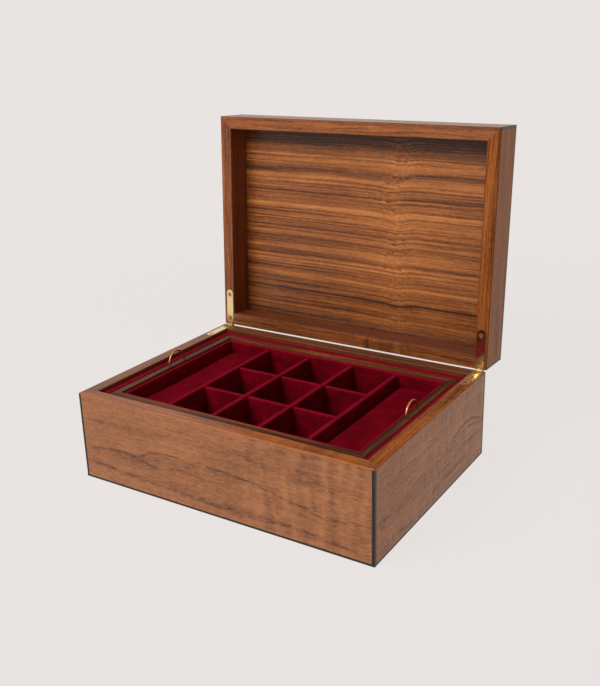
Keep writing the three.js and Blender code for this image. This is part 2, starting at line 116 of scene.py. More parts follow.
def angle(name, description, degrees):
    return number(name, description, math.radians(degrees), subtype="ANGLE")


def spot(name, description, default):
    return FloatVectorProperty(
        name=name, description=description, subtype="TRANSLATION", size=3, default=default
    )


# ---------------------------------------------------------------- settings


class WoodSettings(PropertyGroup):
    """Tones of the walnut and of the black edging."""

    veneer_light: colour("Veneer, light", "Lightest streaks of the outer veneer", (198, 134, 88))
    veneer_mid: colour("Veneer, middle", "Body colour of the outer veneer", (158, 99, 60))
    veneer_dark: colour("Veneer, dark", "Growth lines of the outer veneer", (84, 50, 34))
    rim_light: colour("Rim, light", "Lightest streaks of the solid rims", (184, 108, 52))
    rim_mid: colour("Rim, middle", "Body colour of the solid rims", (132, 71, 29))
    rim_dark: colour("Rim, dark", "Growth lines of the solid rims", (58, 28, 14))
    # The inner faces' tones are partly the darker wood inside the box and partly painted shade for the
    # recesses of the base and the lid.
    inside_light: colour("Inside, light", "Lightest streaks of the walls' inner faces", (150, 82, 38))
    inside_mid: colour("Inside, middle", "Body colour of the walls' inner faces", (112, 51, 17))
    inside_dark: colour("Inside, dark", "Growth lines of the walls' inner faces", (60, 26, 12))
    # Painted light: the base's rim is lighter and warmer towards its front right corner, where the light
    # falls on it.
    painted_amber_light: colour("Amber", "Warm tone of the base's rim towards its front right corner", (182, 97, 34))
    panel_light: colour("Panel, light", "Light stripes of the figured panel in the lid", (206, 130, 66))
    panel_mid: colour("Panel, middle", "Body colour of the figured panel", (147, 83, 37))
    panel_dark: colour("Panel, dark", "Dark stripes of the figured panel", (66, 36, 20))
    tray_light: colour("Tray, light", "Lightest streaks of the tray's frame", (142, 86, 48))
    tray_mid: colour("Tray, middle", "Body colour of the tray's frame", (80, 42, 21))
    tray_dark: colour("Tray, dark", "Growth lines of the tray's frame", (42, 22, 13))
    edging: colour("Edging", "Black edging along the outer corners", (22, 19, 17))
    edging_worn: colour("Edging, rubbed", "Where the edging is a little rubbed", (42, 38, 34))
    gloss: fraction("Wood roughness", "Roughness of the satin lacquer", 0.34)


class VelvetSettings(PropertyGroup):
    """The velvet's colours, and how soft its edges are."""

    deep: colour("Velvet, deep", "Velvet seen straight into the pile", (84, 0, 11))
    bright: colour("Velvet, bright", "Velvet where the pile lies flat", (128, 2, 24))
    # Painted light: the paler colour that the velvet takes where it faces up, towards the light.
    crown: colour("Velvet, crowns", "Velvet rubbed along the tops of the boards", (150, 20, 46))
    sheen: fraction("Sheen", "How much the pile catches light at its edges", 0.22)
    unevenness: length("Unevenness", "How far the covered boards wander from straight", 0.1)
    liner_round: length("Liner rounding", "Radius along the liner boards' tops", 1.6)
    lining_round: length("Lining rounding", "Radius along the top of the tray's lining", 2.3)
    divider_round: length("Divider rounding", "Radius along the tops of the dividers", 1.9)
    puff: length("Cushion rise", "How far the padded floors may swell", 1.3)
    voxel: length("Cushion voxel", "Mesh size of the padded floors before they swell", 4)
    pressure: number("Cushion pressure", "Air pressure in the padded floors", 4, min=0)


class BrassSettings(PropertyGroup):
    """The hinges, screws and lifting loops."""

    polished: colour("Polished brass", "Hinge leaves", (246, 220, 164))
    aged: colour("Aged brass", "Screws, hinge pins and wire loops", (190, 144, 84))
    leaf_ease: length("Leaf easing", "Small bevel round the hinge leaves", 0.5)
    wire_sides: IntProperty(
        name="Wire sides", description="Sides of the wire's round section", min=6, default=20
    )


class StudioSettings(PropertyGroup):
    """Camera, lights and backdrop."""

    azimuth: angle("Azimuth", "Camera's turn to the box's right", 32.582)
    elevation: angle("Elevation", "Camera's tilt down", 19.32)
    roll: angle("Roll", "Camera's lean", -1.543)
    eye: spot("Eye", "Camera's place", (0.4648, -0.6956, 0.4341))
    lens: number("Lens", "Focal length on a 36 mm frame, in millimetres", 47.228)
    shift_x: number("Shift across", "Camera's sideways shift, as a share of the frame", -0.0008)
    shift_y: number("Shift up", "Camera's upward shift, as a share of the frame", -0.0112)
    backdrop: colour("Backdrop", "Paper behind and under the box", (233, 228, 225))
    surround: number("Surround", "Strength of the light from all round", 0.42, min=0)
    key_place: spot("Key light's place", "Middle of the large soft light", (-0.55, -1.35, 1.4))
    key: number("Key light", "Power of the large soft light, in watts", 26, min=0)
    fill_place: spot("Fill light's place", "Middle of the light from the right", (1.6, -0.5, 0.7))
    fill: number("Fill light", "Power of the light from the right, in watts", 1, min=0)


# ---------------------------------------------------------------- shader building


class Wire:
    """A shader socket that Python arithmetic works on: each operator adds one Math node."""

    def __init__(self, graph, socket):
        self.graph = graph
        self.socket = socket

    def math(self, operation, *terms):
        return self.graph.node("Math", {"operation": operation}, dict(enumerate(terms)))

    def __add__(self, other):
        return self.math("ADD", self, other)

    def __sub__(self, other):
        return self.math("SUBTRACT", self, other)

    def __rsub__(self, other):
        return self.math("SUBTRACT", other, self)

    def __mul__(self, other):
        return self.math("MULTIPLY", self, other)

    def __truediv__(self, other):
        return self.math("DIVIDE", self, other)

    def __abs__(self):
        return self.math("ABSOLUTE", self)

    __radd__ = __add__
    __rmul__ = __mul__


class Graph:
    """The nodes of a material or a world: a method that adds any node, and short forms for the commonest."""

    def __init__(self, owner):
        self.owner = owner
        owner.use_nodes = True
        self.tree = owner.node_tree
        self.tree.nodes.clear()

    def node(self, kind, settings=None, inputs=None, out=0):
        """Adds the shader node of a kind and gives its output number out."""
        made = self.tree.nodes.new("ShaderNode" + kind)
        for key, value in (settings or {}).items():
            if key == "stops":
                self.set_stops(made.color_ramp, value)
            elif key == "interpolation":
                made.color_ramp.interpolation = value
            else:
                setattr(made, key, value)
        for key, value in (inputs or {}).items():
            if isinstance(value, Wire):
                self.tree.links.new(value.socket, made.inputs[key])
            else:
                made.inputs[key].default_value = value
        return Wire(self, made.outputs[out]) if made.outputs else made

    @staticmethod
    def set_stops(ramp, stops):
        while len(ramp.elements) < len(stops):
            ramp.elements.new(1)
        for element, (position, shade) in zip(ramp.elements, stops):
            element.position = position
            element.color = (shade,) * 3 + (1,) if isinstance(shade, float) else (*shade, 1)

    def ramp(self, value, stops, interpolation="LINEAR"):
        return self.node("ValToRGB", {"stops": stops, "interpolation": interpolation}, {0: value})

    def curve(self, value, points):
        """A smooth line through given points (value, result), level beyond its ends."""
        starts = [p[0] for p in points]
        results = [p[1] for p in points]
        low, high = min(results), max(results)
        span = high - low
        stops = [((a - starts[0]) / (starts[-1] - starts[0]), (r - low) / span) for a, r in points]
        along = (value - starts[0]) / (starts[-1] - starts[0])
        return self.ramp(along, stops, "CARDINAL") * span + low

    def smooth(self, value, start, end, low=0.0, high=1.0):
        ends = {"From Min": start, "From Max": end, "To Min": low, "To Max": high}
        return self.node("MapRange", {"interpolation_type": "SMOOTHSTEP"}, {"Value": value, **ends})

    def join(self, x, y, z):
        return self.node("CombineXYZ", None, {0: x, 1: y, 2: z})

    def split(self, vector):
        made = self.node("SeparateXYZ", None, {0: vector})
        return [Wire(self, out) for out in made.socket.node.outputs]

    def noise(self, x, y, z, detail=2.0, rough=0.5):
        shape = {"Scale": 1.0, "Detail": detail, "Roughness": rough, "Distortion": 0.0}
        return self.node("TexNoise", None, {"Vector": self.join(x, y, z), **shape})

    def mix(self, factor, first, second, blend="MIX"):
        first, second = (c if isinstance(c, Wire) else (*c, 1) for c in (first, second))
        settings = {"data_type": "RGBA", "blend_type": blend}
        return self.node("Mix", settings, {0: factor, 6: first, 7: second}, out=2)

    def bump(self, height, distance, strength=1.0):
        sockets = {"Height": height, "Distance": distance, "Strength": strength}
        return self.node("Bump", None, sockets)

    def shade(self, **sockets):
        """The surface shader: keywords are its sockets, with _ for a space."""
        values = {key.replace("_", " "): value for key, value in sockets.items()}
        surface = self.node("BsdfPrincipled", None, values)
        self.node("OutputMaterial", None, {0: surface})
        return self.owner

    def place(self, on_lid=False):
        """Coordinates in millimetres and the surface normal, with the lid's turned back to shut."""
        where = self.node("TexCoord", out=3)
        facing = self.node("TexCoord", out=1)
        if on_lid:
            turn = {"rotation_type": "X_AXIS"}
            about = {"Vector": where, "Center": PIN, "Angle": SWING}
            where = self.node("VectorRotate", turn, about)
            facing = self.node("VectorRotate", turn, {"Vector": facing, "Angle": SWING})
        where = self.node("VectorMath", {"operation": "SCALE"}, {0: where, "Scale": 1 / MM})
        return self.split(where), self.split(facing)


def material_graph(name):
    return Graph(bpy.data.materials.new(name))


# ---------------------------------------------------------------- finishes

SHINE = 0.34  # reflection of the satin lacquer


class Timber:
    """A walnut finish: u runs along the grain, v across the face and w into the board, in millimetres."""

    def __init__(self, name, side, seed, on_lid=False, sway=9.0):
        """side: the wall it is for; the board's grain runs along that wall."""
        self.graph = g = material_graph(name)
        (x, y, z), (east, north, up) = g.place(on_lid)
        self.flat = g.smooth(abs(up), 0.5, 0.8)
        self.arris = g.smooth(abs(abs(up) - 0.7), 0.1, 0.25, 1.0, 0.0)
        lengthwise = side in ("front", "back")
        self.u = x if lengthwise else y
        across = y if lengthwise else x
        inward = (north if lengthwise else east) * (1 if side in ("front", "left") else -1)
        self.inner = g.smooth(inward, 0.5, 0.8)
        self.v = z + self.flat * (across - z)
        self.w = across + self.flat * (z - across)
        self.seed = seed
        u, v, w = self.u, self.v, self.w
        lazy = g.noise(u / 150 + seed, v / 44, w / 44) - 0.5
        quick = g.noise(u / 36, v / 12 + seed, w / 12) - 0.5
        self.ring = v + lazy * sway + quick * (sway * 0.38)

    def grain(self, broad=0.45, lines=0.45, fibres=0.3, flecks=0.5, clouds=0.3, pitch=8.0):
        """Growth bands, fine lines, fibres, short dark flecks and slow clouds of tone."""
        g, u, w, ring, seed = self.graph, self.u, self.w, self.ring, self.seed
        bands = g.noise(ring / pitch, u / 420 + seed, w / 60, 3.0, 0.62) - 0.5
        thin = g.noise(ring / 1.9, u / 75, w / 5 + seed, 2.0, 0.6) - 0.5
        self.strands = g.noise(u / 13, ring / 0.7, w / 0.8 + seed, 2.0, 0.65) - 0.5
        self.fleck = g.noise(u / 5.5, ring / 1.2, w / 1.3 + seed * 2, 2.0, 0.6) - 0.5
        drift = g.noise(u / 62 + seed, self.v / 20, w / 30, 2.0) - 0.5
        fine = self.strands * fibres + self.fleck * flecks
        self.value = 0.47 + bands * broad + thin * lines + fine + drift * clouds

    def pores(self, depth=0.3):
        """Short open pores along the grain."""
        g = self.graph
        speck = g.noise(self.u / 3.2, self.ring / 0.4, self.w / 0.45 + self.seed, 1.0)
        self.open = g.smooth(speck, 0.6, 0.72)
        self.value = self.value - self.open * depth

    def vein(self, points, width, depth, shadow=0.0, reach=6.0):
        """A dark growth line through given points (u, v).

        reach is how far a soft shadow spreads from it, upwards if positive and downwards if negative."""
        g, u = self.graph, self.u
        wander = (g.noise(u / 9, width * 3.7, self.seed, 2.0) - 0.5) * 5.0
        off = self.v - g.curve(u, points) - wander
        start, end = points[0][0], points[-1][0]
        ends = g.smooth(u, start - 10, start + 14) * g.smooth(u, end - 14, end + 10, 1.0, 0.0)
        broken = g.smooth(g.noise(u / 17, self.v / 9, width * 5.1 + self.seed, 2.0), 0.3, 0.56, 0.3, 1.0)
        face = ends * broken * (1 - self.flat) * (1 - self.inner)
        line = g.smooth(abs(off), 0.0, width * 1.3, depth * 0.8, 0.0)
        if shadow:
            side = off * (1 if reach > 0 else -1)
            line = line + g.smooth(side, 0.0, abs(reach), shadow, 0.0) * g.smooth(side, -1.5, 0.5)
        self.value = self.value - line * face * (0.8 - self.fleck * 1.2)

    def rim_stripes(self, strength):
        """Lengthwise stripes on the flat faces only."""
        g = self.graph
        stripe = g.noise(self.ring / 2.4, self.u / 130 + self.seed, 4.4, 2.0, 0.6) - 0.5
        self.value = self.value + stripe * self.flat * strength

    def ripple(self, points, pitch, strength, share=1.0):
        """Fiddleback: soft bars across the grain, by a curve through (u, strength).

        share says on which faces."""
        g = self.graph
        lean = (g.noise(self.u / 40, self.v / 22 + self.seed, 2.2) - 0.5) * 16
        bars = g.noise((self.u + lean) / pitch, self.v / 46, self.seed, 1.0) - 0.5
        self.value = self.value + bars * g.curve(self.u, points) * strength * share

    def finish(
        self, light, mid, dark, rim=None, inside=None, painted_warm_light=None, edge=None, gloss=0.34, tint=(1, 1, 1),
        shine=SHINE,
    ):
        """Turns the grain value into the lacquered surface.

        rim and inside hold the three tones of the flat and of the inner faces, the inner ones partly painted
        shade; warm and edge hold a tone and its share of the flat faces and of the bevels, a painted light on
        the flats and painted light and shade on the bevels; tint multiplies the outer faces, for a board's
        colour and for painted light and shade on some; shine is the lacquer's reflection."""
        g = self.graph

        def tones(three, by=(1, 1, 1)):
            bright, middle, deep = (tuple(c * k for c, k in zip(t, by)) for t in three)
            return g.ramp(self.value, [(0.0, deep), (0.45, middle), (1.0, bright)])

        body = tones((light, mid, dark), tint)
        # The inner faces take the darker inside tones, partly painted shade.
        if inside:
            body = g.mix(self.inner, body, tones(inside))
        if rim:
            body = g.mix(self.flat, body, tones(rim))
        # Painted light of a warmer tone on the flat faces.
        if painted_warm_light:
            shade, share = painted_warm_light
            strength = g.ramp(self.value, [(0.0, 0.3), (0.45, 0.8), (1.0, 1.2)])
            body = g.mix(self.flat * share, body, g.mix(1.0, tuple(shade), strength, "MULTIPLY"))
        # Painted light and shade along the bevels: a tone mixed into them.
        if edge:
            shade, share = edge
            body = g.mix(self.arris * share, body, tuple(shade))
        gloss_here = gloss + self.strands * 0.1 + self.open * 0.15 + self.arris * 0.2
        height = self.strands * 0.6 + self.fleck * 0.4 - self.open
        return g.shade(
            Base_Color=body, Roughness=gloss_here, Normal=g.bump(height, 0.06 * MM, 0.35),
            Specular_IOR_Level=shine,
        )


def wood_tones(family):
    s = bpy.context.scene.jewellery_wood
    return [getattr(s, f"{family}_{shade}") for shade in ("light", "mid", "dark")]


def wall_finish(
    name, side, seed, on_lid=False, family="veneer", figure=None, painted_amber_light=None, tint=(1, 1, 1), rim_light_and_shade=1.0,
    stripes=1.1, shine=SHINE, **grain
):
    """The finish of one wall: veneer on its outer face, darker wood with painted shade inside, solid wood
    along its rim.

    amber holds where along the wall the rim starts and stops warming under a painted light, and by how much
    on its inner and outer half; rim_light_and_shade is the rim's brightness, a painted light and shade that
    differs from wall to wall, and stripes the strength of its lengthwise stripes."""
    timber = Timber(name, side, seed, on_lid)
    timber.grain(**grain)
    timber.pores()
    timber.rim_stripes(stripes)
    if figure:
        figure(timber)
    s = bpy.context.scene.jewellery_wood
    # Each wall's rim is scaled brighter or darker as painted light and shade.
    rim = [tuple(c * rim_light_and_shade for c in t) for t in wood_tones("rim")]
    painted_warm_light = None
    # Painted shade along the bevels: they are darkened towards a deep rim tone.
    edge = (tuple(c * 0.4 for c in rim[1]), 0.55)
    # Painted light on the rim towards one corner, lighter and warmer, with a painted highlight along its
    # bevel there.
    if painted_amber_light:
        start, end, within, without = painted_amber_light
        g = timber.graph
        low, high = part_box(f"base_wall_{side}")
        middle = abs((low.y + high.y if side in ("front", "back") else low.x + high.x) / 2 / MM)
        outer = g.smooth(abs(timber.v), middle - 1, middle + 3, within, without)
        painted_warm_light = (s.painted_amber_light, g.smooth(timber.u, start, end) * outer)
        edge = (tuple(c * 0.9 for c in s.painted_amber_light), g.smooth(timber.u, start, end, 0.2, 0.8))
    return timber.finish(
        *wood_tones(family), rim=rim, inside=wood_tones("inside"), painted_warm_light=painted_warm_light, edge=edge, gloss=s.gloss,
        tint=tint, shine=shine,
    )


def front_figure(timber):
    """The arched figure on the front veneer, with rippled grain towards its right end."""
    veins = [
        ([(-135, 36), (-105, 35), (-78, 37), (-50, 41), (-18, 41)], 7.0, 0.24),
        ([(-160, 35), (-128, 39), (-94, 38), (-71, 33), (-36, 38)], 1.9, 0.3, 0.14, -8),
        ([(-96, 38), (-80, 46), (-58, 50), (-36, 49), (-20, 46)], 1.8, 0.3, 0.12, -10),
        ([(-25, 51), (22, 48), (50, 46), (78, 39), (97, 37), (115, 32), (153, 37)], 1.5, 0.42),
        ([(-159, 19), (-118, 16), (-38, 13), (24, 11), (86, 13), (151, 9)], 2.8, 0.3, 0.12, 9),
        ([(-70, 20), (-38, 17), (10, 15), (60, 17)], 5.0, 0.18),
        ([(-155, 65), (-80, 67), (23, 71), (66, 66)], 4.5, 0.16),
        ([(70, 58), (100, 62), (120, 60), (140, 56)], 6.0, 0.2),
    ]
    for vein in veins:
        timber.vein(*vein)
    timber.ripple([(-165, 0.1), (20, 0.2), (60, 1.0), (165, 1.0)], 10.0, 0.75)


def right_figure(timber):
    """The figure on the right veneer: an arch near the back and long flat lines below it."""
    veins = [
        ([(20, 45), (36, 48), (60, 55), (85, 55), (117, 44)], 1.6, 0.75, 0.25, -8),
        ([(30, 40), (48, 46), (62, 49), (79, 49), (92, 44)], 1.5, 0.7),
        ([(-10, 12), (32, 16), (60, 17), (84, 16)], 2.2, 0.5, 0.16, 8),
        ([(-60, 26), (-20, 30), (20, 27), (70, 33), (110, 30)], 1.8, 0.3),
        ([(-115, 39), (-78, 34), (-51, 41), (-21, 43)], 1.8, 0.36),
        ([(-118, 33), (-90, 27), (-66, 31), (-40, 35)], 1.5, 0.3),
        ([(-91, 12), (-64, 9), (-40, 5)], 2.0, 0.34),
        ([(-100, 66), (-60, 60), (-20, 68), (30, 70)], 3.5, 0.2),
        ([(66, 44), (80, 47), (98, 44), (120, 38)], 1.4, 0.6),
    ]
    for vein in veins:
        timber.vein(*vein)
    timber.ripple([(-125, 0.6), (0, 0.8), (125, 1.0)], 4.5, 0.5)


def rim_ripple(timber):
    """Ripple half-way along the lid's lower rim."""
    points = [(-165, 0.0), (5, 0.1), (35, 1.0), (70, 0.7), (100, 0.1), (165, 0.0)]
    timber.ripple(points, 7.0, 1.4, timber.flat)


def panel_finish():
    """The striped panel inside the lid: all its stripes dip right of the middle, with rippled grain there."""
    timber = Timber("panel_walnut", "front", 3.3, on_lid=True, sway=3.2)
    g, u = timber.graph, timber.u
    high = PIN.y / MM - timber.v
    fold = u - 47 - (g.noise(high / 34, 1.7, 0.4, 2.0) - 0.5) * 60
    sag = [(-90, 0.0), (-40, -0.8), (-16, -1.8), (-3, -3.4), (5, -2.6), (14, -0.5), (30, 0.4), (80, 0.0)]
    dip = g.curve(fold, sag)
    near = g.smooth(abs(fold), 4.0, 26.0, 1.0, 0.0)
    force = g.smooth(g.noise(high / 21, 6.1, 0.9, 2.0), 0.35, 0.6, 0.25, 1.0)
    speckle = (g.noise(u / 3.6, timber.v / 3.0, 5.5, 2.0) - 0.5) * near
    timber.ring = timber.ring + dip * force + speckle * 3.4
    timber.grain(broad=0.12, lines=0.75, fibres=0.5, flecks=0.55, clouds=0.22, pitch=4.2)
    fine = g.noise(timber.ring / 2.3, u / 700, 8.8, 2.0, 0.5)
    timber.value = timber.value - g.smooth(fine, 0.5, 0.62, 0.0, 0.3) + g.smooth(fine, 0.44, 0.34, 0.0, 0.16)
    stripes = [
        (15, 0.3), (24, 0.42), (28, 0.66), (33, 0.4), (42, 0.46), (48, 0.12), (52, 0.42), (60, 0.3),
        (67, 0.72), (71, 0.3), (80, 0.62), (88, 0.56), (92, 0.18), (99, 0.74), (104, 0.36), (116, 0.6),
        (123, 0.3), (130, 0.62), (141, 0.5), (146, 0.86), (150, 0.4), (158, 0.5), (163, 0.22), (172, 0.56),
        (181, 0.74), (186, 0.2), (193, 0.56), (201, 0.76), (207, 0.4), (222, 0.22), (230, 0.2),
    ]
    level = PIN.y / MM - timber.ring
    timber.value = timber.value + (g.curve(level, stripes) - 0.46) * 0.64 + speckle * 0.8
    # Painted light and shade: a pool of light in the middle of the panel, a painted shadow of the lid's wall
    # along its top, darker towards the bottom, and a painted highlight along the fold.
    glow = g.smooth(u, -60, 40) * g.smooth(u, 60, 120, 1.0, 0.5)
    glow = glow * g.smooth(abs(high - 115), 40, 105, 1.0, 0.0)
    ends = g.smooth(high, 200, 236) * 0.34 + g.smooth(high, 62, 26, 0.0, 0.1)
    timber.value = timber.value + glow * 0.13 + near * 0.06 - ends
    timber.pores()
    return timber.finish(*wood_tones("panel"), gloss=bpy.context.scene.jewellery_wood.gloss)


ROW_PITCH = 1.8  # rows of the velvet's backing


def velvet_finish(name, seed, rows, crown=0.0):
    """Short-pile velvet: nap lying in patches, fine pile, and faint rows of the backing along one axis.

    crown is how much paler it is where it faces up, a painted light on the tops."""
    s = bpy.context.scene.jewellery_velvet
    g = material_graph(name)
    (x, y, z), (_, _, up) = g.place()
    nap = g.noise(x / 21 + seed, y / 21, z / 16, 3.0, 0.55) - 0.5
    pile = g.noise(x / 0.42, y / 0.42, z / 0.42 + seed, 2.0, 0.6) - 0.5
    tuft = g.noise(x / 1.6, y / 1.6, z / 1.6 + seed, 2.0) - 0.5
    run = {"X": x, "Y": y}[rows]
    row = g.node("Math", {"operation": "SINE"}, {0: run * (2 * math.pi / ROW_PITCH)})
    lay = g.smooth(0.47 + nap * 1.3 + tuft * 1.1 + pile * 0.5 + row * 0.17, 0.15, 0.85)
    body = g.mix(lay, tuple(s.deep), tuple(s.bright))
    if crown:
        # Painted light: the velvet is paler where it faces up, as if lit from above.
        wear_and_lit_tops = g.smooth(up, 0.25, 0.95) * (1 + nap * 0.8 + tuft * 0.8) * crown
        body = g.mix(wear_and_lit_tops, body, tuple(s.crown))
    height = pile + tuft * 0.8 + row * 0.14
    return g.shade(
        Base_Color=body, Roughness=0.86 + pile * 0.12, Normal=g.bump(height, 0.22 * MM, 0.5),
        Specular_IOR_Level=0.04, Sheen_Weight=s.sheen, Sheen_Roughness=0.42,
        Sheen_Tint=(*tone(200, 40, 66), 1),
    )


def brass_finish(name, body, along, roughness, age):
    """Brass with hair-fine polishing marks along one axis, tarnished patches, and painted shade near the
    hinge pin.
    """
    g = material_graph(name)
    (x, y, z), _ = g.place()
    fine, long = 0.09, 7.0
    stretch = {"Y": (fine, long, fine), "Z": (fine, fine, long)}[along]
    marks = g.noise(x / stretch[0], y / stretch[1], z / stretch[2], 2.0) - 0.5
    patches = g.noise(x / 6, y / 6, z / 6, 3.0, 0.6)
    off_pin = g.join(0.0, y - PIN.y / MM, z - PIN.z / MM)
    from_pin = g.node("VectorMath", {"operation": "LENGTH"}, {0: off_pin}, out=1)
    # Darker, rougher brass in tarnished patches, and painted shade near the hinge pin.
    tarnish_and_pin_shade = g.smooth(patches, 0.42, 0.75) * age + g.smooth(from_pin, 3.0, 16.0, 0.95, 0.0)
    dull = tuple(c * k for c, k in zip(body, (0.4, 0.36, 0.28)))
    return g.shade(
        Base_Color=g.mix(tarnish_and_pin_shade, tuple(body), dull), Metallic=1.0,
        Roughness=roughness + marks * 0.06 + tarnish_and_pin_shade * 0.3,
        Normal=g.bump(marks + patches * 0.4, 0.012 * MM, 0.5),
    )


def edging_finish():
    """Black-stained edging under satin lacquer, rubbed a little paler here and there."""
    s = bpy.context.scene.jewellery_wood
    g = material_graph("black_edging")
    (x, y, z), _ = g.place()
    hairs = g.noise(x / 1.1, y / 1.1, z / 1.1, 3.0, 0.7) - 0.5
    wear_and_lit_tops = g.smooth(g.noise(x / 13, y / 13, z / 13, 3.0), 0.5, 0.8) * 0.6
    body = g.mix(wear_and_lit_tops + hairs * 0.25, tuple(s.edging), tuple(s.edging_worn))
    return g.shade(
        Base_Color=body, Roughness=0.4 + hairs * 0.12, Normal=g.bump(hairs, 0.03 * MM, 0.4),
        Specular_IOR_Level=0.4,
    )


# ---------------------------------------------------------------- mesh building

CORNER_ANGLE = 40  # degrees between faces from which an edge stays crisp
ROUND_ANGLE = 60  # the same on the softest pieces
ARCH_STEPS = 40  # straight parts in a lifting loop's arch
SWELL_FRAMES = 20  # frames for which the padded floors swell


def wear(node, material):
    """Puts a finish on a node of the frame."""
    piece = frame["nodes"][node]
    piece.data.materials.clear()
    piece.data.materials.append(material)
    return piece


def ease(piece, width, segments=2):
    """Rounds a node's sharp edges a little, as a modifier."""
    bevel = piece.modifiers.new("Eased edges", "BEVEL")
    bevel.width = width
    bevel.segments = segments
    bevel.limit_method = "ANGLE"
    bevel.angle_limit = math.radians(38)
    bevel.harden_normals = True
    bevel.use_clamp_overlap = True


def new_piece(name, points, faces, body, material, replaced, smooth_under=CORNER_ANGLE):
    """A mesh piece that rides on a body, stands for frame nodes and has smooth rounds with crisp corners."""
    mesh = bpy.data.meshes.new(name)
    mesh.from_pydata(points, [], faces)
    mesh.validate()
    tidy = bmesh.new()
    tidy.from_mesh(mesh)
    bmesh.ops.recalc_face_normals(tidy, faces=tidy.faces)
    tidy.to_mesh(mesh)
    tidy.free()
    piece = bpy.data.objects.new(name, mesh)
    bpy.context.scene.collection.objects.link(piece)
    mesh.materials.append(material)
    soften(mesh, smooth_under)
    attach(piece, body)
    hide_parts(*replaced)
    return piece


def soften(mesh, degrees):
    mesh.shade_smooth()
    mesh.set_sharp_from_angle(angle=math.radians(degrees))


def steps(start, end, most):
    """Evenly spaced values from start to end, no further apart than most."""
    count = max(1, math.ceil(abs(end - start) / most))
    return [start + (end - start) * i / count for i in range(count + 1)]


def wander(point, amount, cell=0.02):
    """A small, slow push that is the same for the same point, in every run."""
    at = Vector(point) / cell
    return Vector([noise.noise(at + Vector((0, 0, apart))) for apart in (0, 17.3, 41.9)]) * amount


def round_top(low, high, foot, top, radius, gap=4 * MM, turns=6):
    """An upright board's outline with both top edges rounded: (across, up) from the left foot clockwise."""
    left = [(low, z) for z in steps(foot, top - radius, gap)]
    right = [(high, z) for z in steps(top - radius, foot, gap)]
    quarter = [math.pi / 2 * i / turns for i in range(1, turns)]
    rise = [(low + radius - radius * math.cos(a), top - radius + radius * math.sin(a)) for a in quarter]
    fall = [(high - radius + radius * math.sin(a), top - radius + radius * math.cos(a)) for a in quarter]
    crown = [(low + radius, top)]
    if high - low > 2.05 * radius:
        crown.append((high - radius, top))
    return left + rise + crown + fall + right


def skin(rings, closed_path):
    """Quads between neighbouring rings of points, capped unless the path closes on itself."""
    points = [p for ring in rings for p in ring]
    size, count = len(rings[0]), len(rings)
    faces = []
    for i in range(count if closed_path else count - 1):
        a, b = i * size, (i + 1) % count * size
        faces += [(a + k, a + (k + 1) % size, b + (k + 1) % size, b + k) for k in range(size)]
    if not closed_path:
        faces += [tuple(range(size)), tuple(range((count - 1) * size, count * size))]
    return points, faces


def covered_board(name, along, low, high, radius, body, material, replaced):
    """A velvet-covered board with a rounded top, running along X or Y between two corners."""
    s = bpy.context.scene.jewellery_velvet
    run, side = (0, 1) if along == "X" else (1, 0)
    section = round_top(low[side], high[side], low.z, high.z, radius)
    rings = []
    for at in steps(low[run], high[run], 5 * MM):
        ring = [Vector((at, a, z) if run == 0 else (a, at, z)) for a, z in section]
        rings.append([p + wander(p, s.unevenness) for p in ring])
    points, faces = skin(rings, closed_path=False)
    return new_piece(name, points, faces, body, material, replaced)


def carve(piece, blocks):
    """Cuts boxes out of a piece for good."""
    for low, high in blocks:
        mesh = bpy.data.meshes.new("cutter")
        shape = bmesh.new()
        bmesh.ops.create_cube(shape, size=1)
        middle, span = (low + high) / 2, high - low
        bmesh.ops.transform(shape, verts=shape.verts, matrix=Matrix.LocRotScale(middle, None, span))
        shape.to_mesh(mesh)
        shape.free()
        cutter = bpy.data.objects.new("cutter", mesh)
        bpy.context.scene.collection.objects.link(cutter)
        modifier = piece.modifiers.new("Cut", "BOOLEAN")
        modifier.operation = "DIFFERENCE"
        modifier.solver = "EXACT"
        modifier.object = cutter
        settle(piece)
        bpy.data.objects.remove(cutter)


def settle(piece):
    """Applies a piece's modifiers."""
    bpy.context.view_layer.update()
    whole = piece.evaluated_get(bpy.context.evaluated_depsgraph_get())
    mesh = bpy.data.meshes.new_from_object(whole)
    piece.modifiers.clear()
    piece.data = mesh


def slab(low, high, radius, cell, rise=None):
    """A closed pad with rounded upper edges: points and faces. rise gives the extra height at a point."""
    def places(first, last):
        inset = [radius * (1 - math.cos(math.pi / 2 * i / 3)) for i in (1, 2)]
        between = steps(first + radius, last - radius, cell)
        return [first, *(first + i for i in inset), *between, *(last - i for i in reversed(inset)), last]

    def drop(at, first, last):
        near = min(at - first, last - at)
        return radius - math.sqrt(max(0.0, radius**2 - max(0.0, radius - near) ** 2))

    xs, ys = places(low.x, high.x), places(low.y, high.y)
    points, top, foot = [], {}, {}
    for i, x in enumerate(xs):
        for j, y in enumerate(ys):
            z = high.z - max(drop(x, low.x, high.x), drop(y, low.y, high.y))
            top[i, j] = len(points)
            points.append(Vector((x, y, z + (rise(x, y) if rise else 0))))
            foot[i, j] = len(points)
            points.append(Vector((x, y, low.z)))
    across, deep = len(xs) - 1, len(ys) - 1
    faces = []
    for i in range(across):
        for j in range(deep):
            cell_corners = [(i, j), (i + 1, j), (i + 1, j + 1), (i, j + 1)]
            faces.append(tuple(top[c] for c in cell_corners))
            faces.append(tuple(foot[c] for c in reversed(cell_corners)))
    border = [(i, 0) for i in range(across)] + [(across, j) for j in range(deep)]
    border += [(i, deep) for i in range(across, 0, -1)] + [(0, j) for j in range(deep, 0, -1)]
    for a, b in zip(border, border[1:] + border[:1]):
        faces.append((foot[a], foot[b], top[b], top[a]))
    return points, faces


